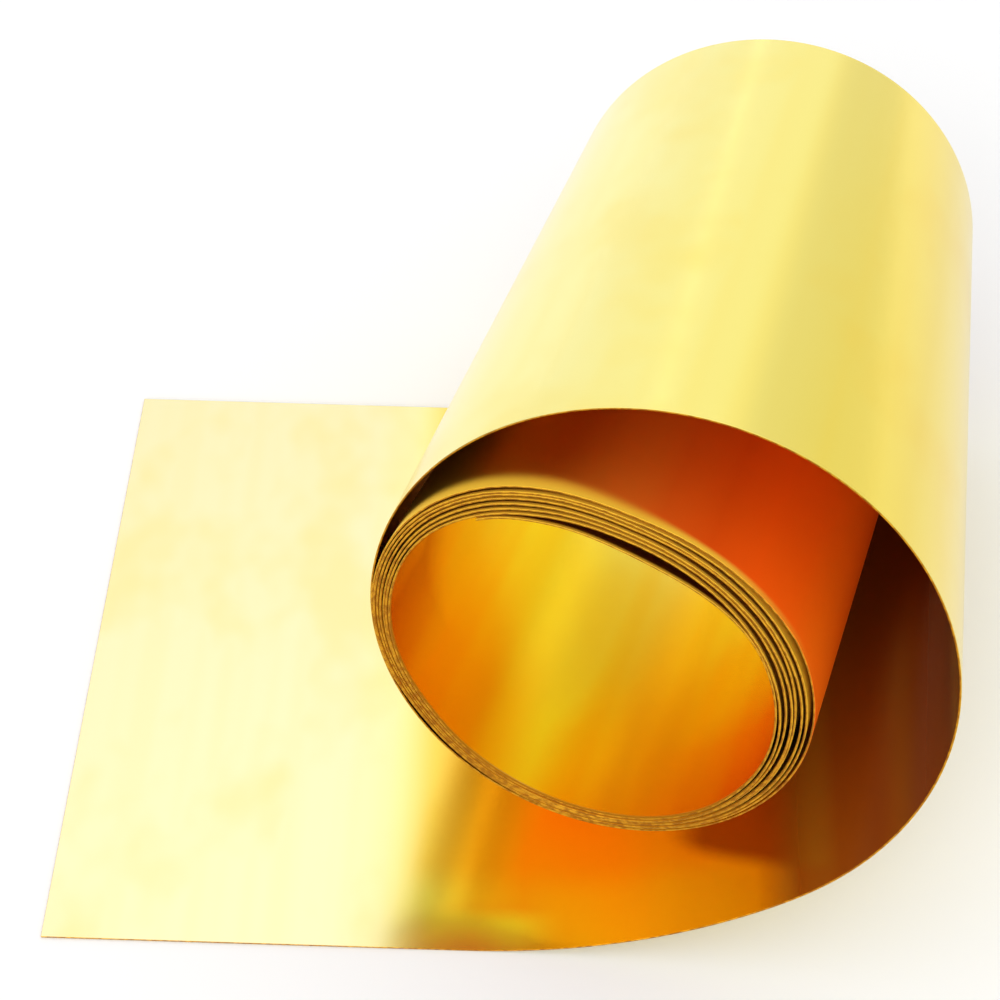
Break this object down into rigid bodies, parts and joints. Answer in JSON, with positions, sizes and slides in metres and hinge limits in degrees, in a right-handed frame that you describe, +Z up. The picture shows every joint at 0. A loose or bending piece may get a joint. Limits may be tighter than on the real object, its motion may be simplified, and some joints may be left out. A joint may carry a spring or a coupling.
{
  "type": "roll of brass strip",
  "caption": "Open roll of plain thin brass strip lying on its side, with a loose outer turn and its end unrolled flat on the floor.",
  "frame": {"origin": "middle of the underside of the flat unrolled end, on the floor", "axes": "+X along the strip from its cut end towards the roll, +Y across the strip away from the edge that faces the viewer, +Z up"},
  "size_m": [0.262, 0.2457, 0.1603],
  "materials": {
    "brass": "bright rolled, half gloss"
  },
  "bodies": {
    "root": {"strip": "brass"}
  },
  "joints": []
}
